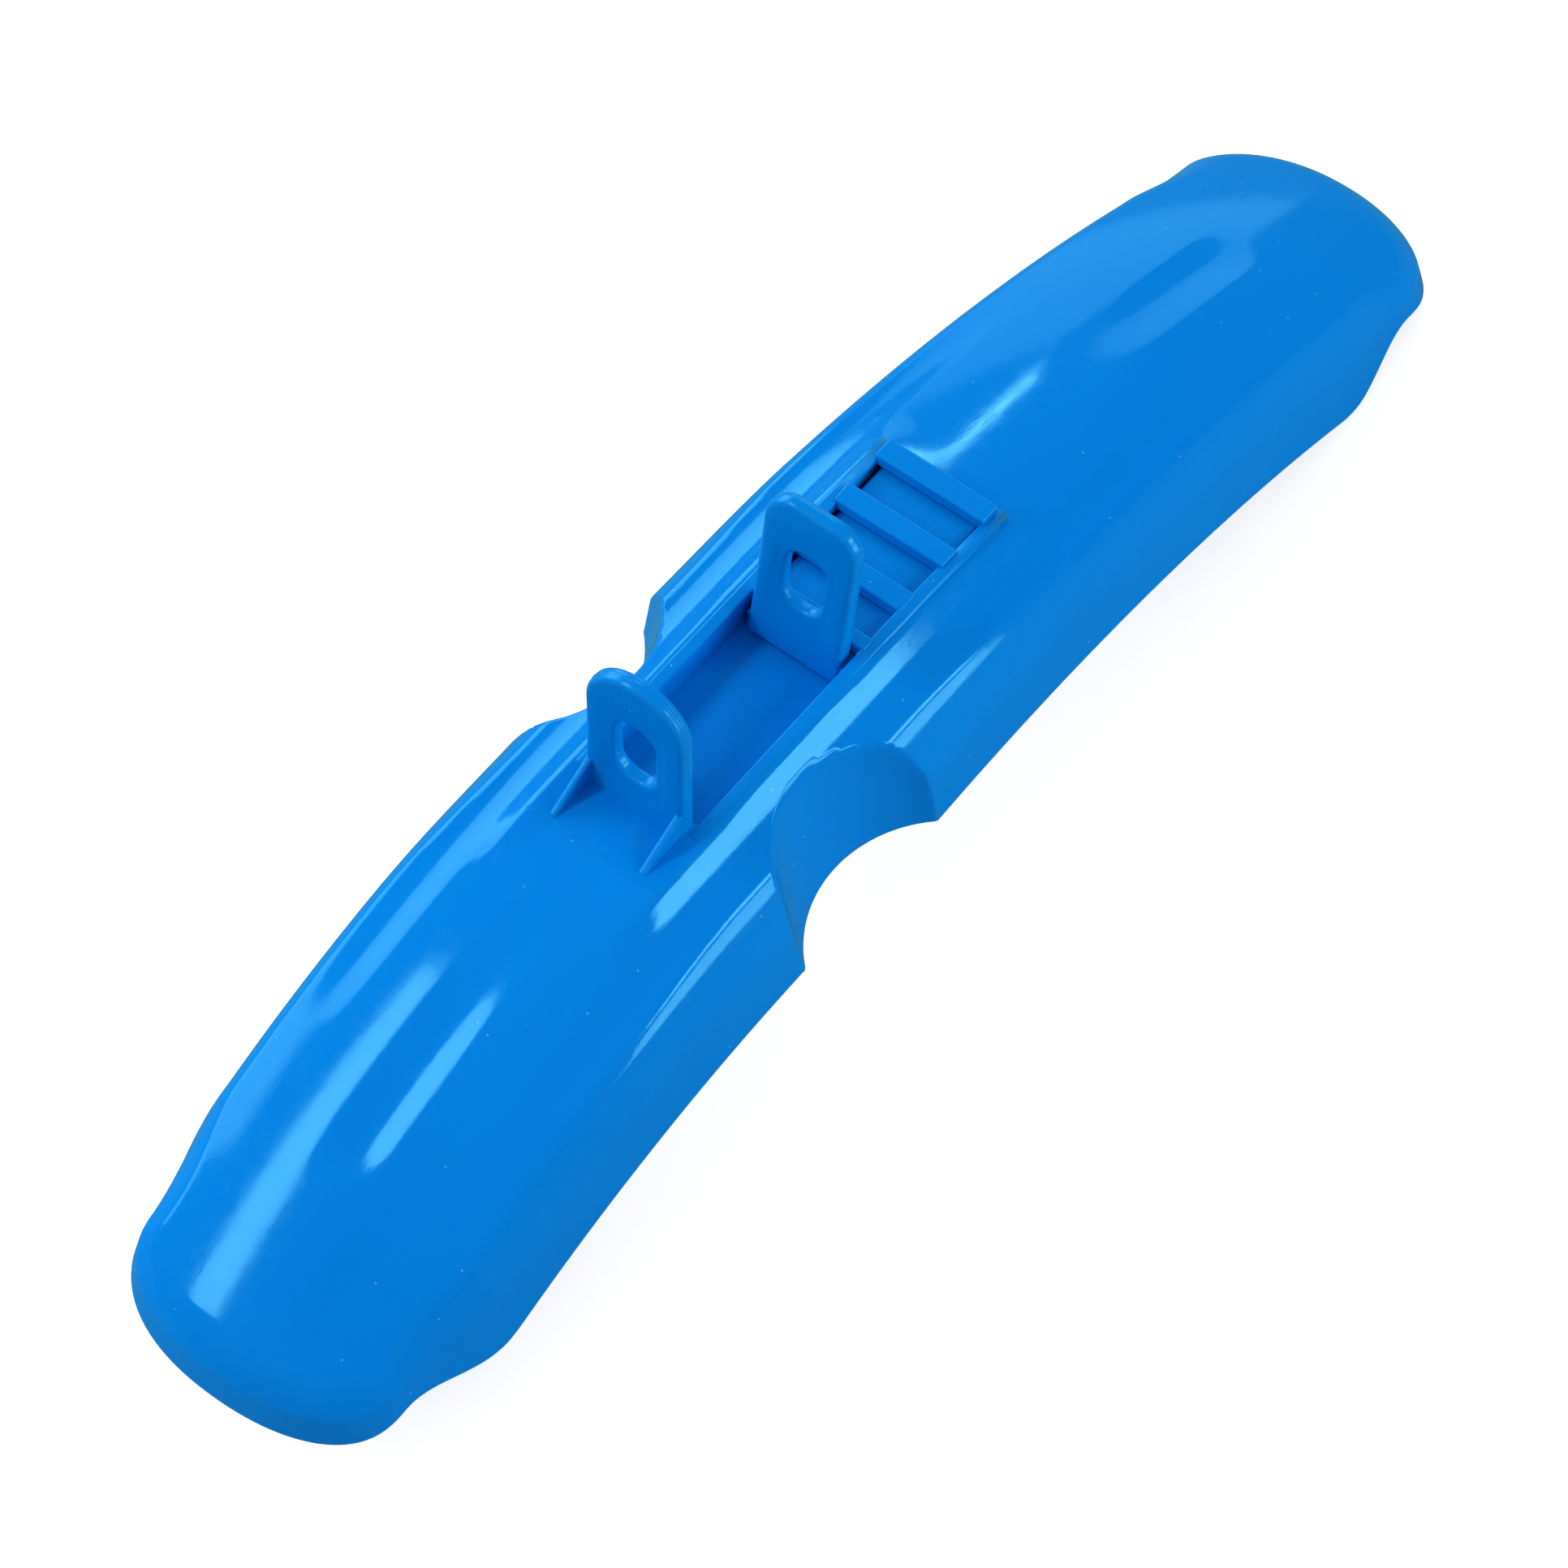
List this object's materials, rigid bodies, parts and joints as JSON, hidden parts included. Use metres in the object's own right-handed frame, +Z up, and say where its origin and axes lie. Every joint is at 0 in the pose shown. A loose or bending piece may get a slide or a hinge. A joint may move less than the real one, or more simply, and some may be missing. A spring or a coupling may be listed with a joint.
{
  "type": "bicycle front mudguard",
  "caption": "Short arched plastic front mudguard for a small bicycle, with side scoops for the fork legs, a fixed slotted lug and a sliding slotted lug that clamp either side of the fork crown.",
  "frame": {"origin": "on the fork's steering axis and the symmetry plane, level with the flat seat the fixed lug stands on", "axes": "+X forward along the guard, +Y to the rider's left, +Z up away from the wheel"},
  "size_m": [0.309, 0.0608, 0.0851],
  "materials": {
    "shell_plastic": "glossy azure blue moulded polypropylene",
    "lug_plastic": "semi-gloss azure blue moulded polypropylene"
  },
  "bodies": {
    "guard": {"guard_shell": "shell_plastic"},
    "slider": {"sliding_lug": "lug_plastic"}
  },
  "joints": [
    {"name": "lug_slide", "type": "slide", "parent": "guard", "child": "slider", "axis": [1, 0, 0], "range_m": [0, 0.012]}
  ]
}
